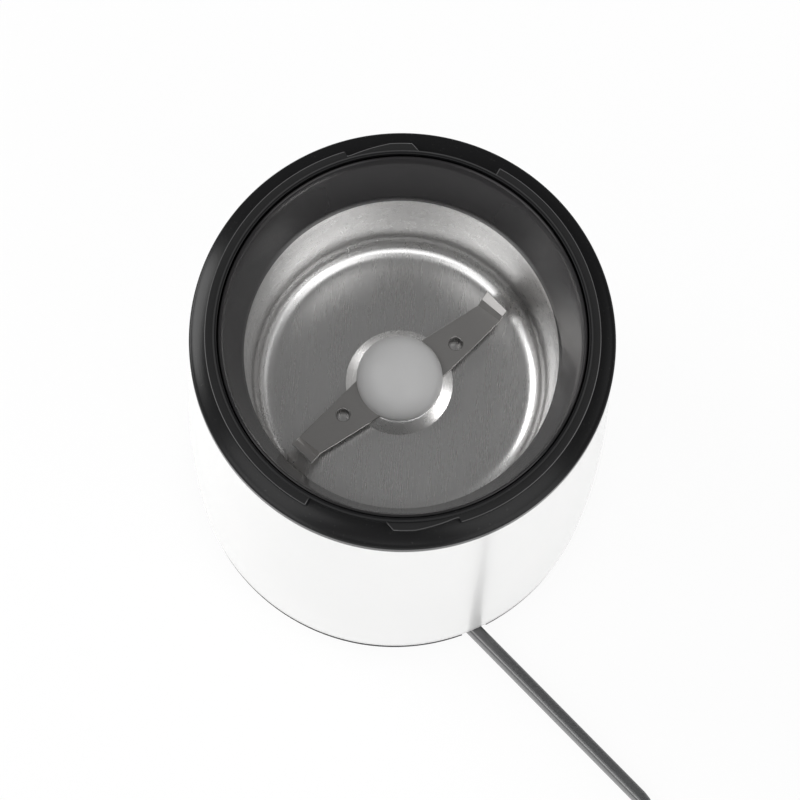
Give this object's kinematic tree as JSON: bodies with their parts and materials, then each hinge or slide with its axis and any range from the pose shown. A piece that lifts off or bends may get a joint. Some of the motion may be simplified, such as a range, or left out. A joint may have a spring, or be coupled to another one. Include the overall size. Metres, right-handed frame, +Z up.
{
  "type": "electric spice grinder",
  "caption": "Small electric spice grinder without its lid: white body, black bayonet rim, steel bowl, flat blade and a coiled flat cord.",
  "frame": {"origin": "on the bowl's axis, at floor level under the feet", "axes": "+Z up along the rotor's axis, -Y towards the viewer of the picture, +X to the right of the picture"},
  "size_m": [0.1284, 0.2087, 0.125],
  "materials": {
    "white_plastic": "glossy",
    "black_plastic": "satin",
    "smoky_plastic": "glossy",
    "brushed_steel": "brushed",
    "blade_steel": "satin",
    "grey_plastic": "satin",
    "frame_plastic": "matt",
    "rubber": "matt",
    "lamination": "satin",
    "copper_wire": "lacquered",
    "bronze": "satin",
    "zinc_screw": "satin",
    "aluminium": "satin",
    "carbon": "matt",
    "cord_pvc": "satin",
    "wire_pvc": "satin",
    "plug_plastic": "satin",
    "plug_brass": "polished"
  },
  "bodies": {
    "body": {"housing": "white_plastic", "rim_ring": "black_plastic", "liner": "smoky_plastic", "bowl": "brushed_steel", "base_plate": "black_plastic", "cord_free": "cord_pvc", "rubber_feet": "rubber", "base_screws": "zinc_screw", "liner_screws": "zinc_screw", "bowl_gasket": "rubber", "shaft_seal": "rubber", "motor_carrier": "frame_plastic", "rubber_mounts": "rubber", "motor_screws": "zinc_screw", "spacer_tubes": "aluminium", "upper_bracket": "aluminium", "upper_bush": "bronze", "lower_bracket": "aluminium", "lower_bush": "bronze", "stator_stack": "lamination", "field_coils": "copper_wire", "brush_holders": "frame_plastic", "carbon_brushes": "carbon", "brush_springs": "zinc_screw", "plunger_spring": "zinc_screw", "microswitch": "frame_plastic", "switch_bracket": "aluminium", "thermal_fuse": "aluminium", "capacitor": "grey_plastic", "terminal_block": "grey_plastic", "lead_wires": "wire_pvc", "strain_relief": "cord_pvc", "cord_clamp": "frame_plastic", "clamp_screws": "zinc_screw", "cord_coil": "cord_pvc", "plug_relief": "plug_plastic", "plug_body": "plug_plastic", "plug_blades": "plug_brass"},
    "rotor": {"shaft": "blade_steel", "rotor_core": "lamination", "armature_windings": "copper_wire", "commutator": "bronze", "fan": "black_plastic", "blade_spacer": "zinc_screw", "blade": "blade_steel", "blade_nut": "zinc_screw", "hub_cap": "grey_plastic"},
    "plunger": {"switch_plunger": "frame_plastic"}
  },
  "joints": [
    {"name": "rotor_spin", "type": "hinge", "parent": "body", "child": "rotor", "pos_m": [0, 0, 0.08], "axis": [0, 0, 1], "continuous": true},
    {"name": "plunger_slide", "type": "slide", "parent": "body", "child": "plunger", "axis": [0, 0, -1], "range_m": [0, 0.002], "stiffness_N_per_m": 500, "springref_m": -0.003, "deforming": ["plunger_spring"]}
  ]
}
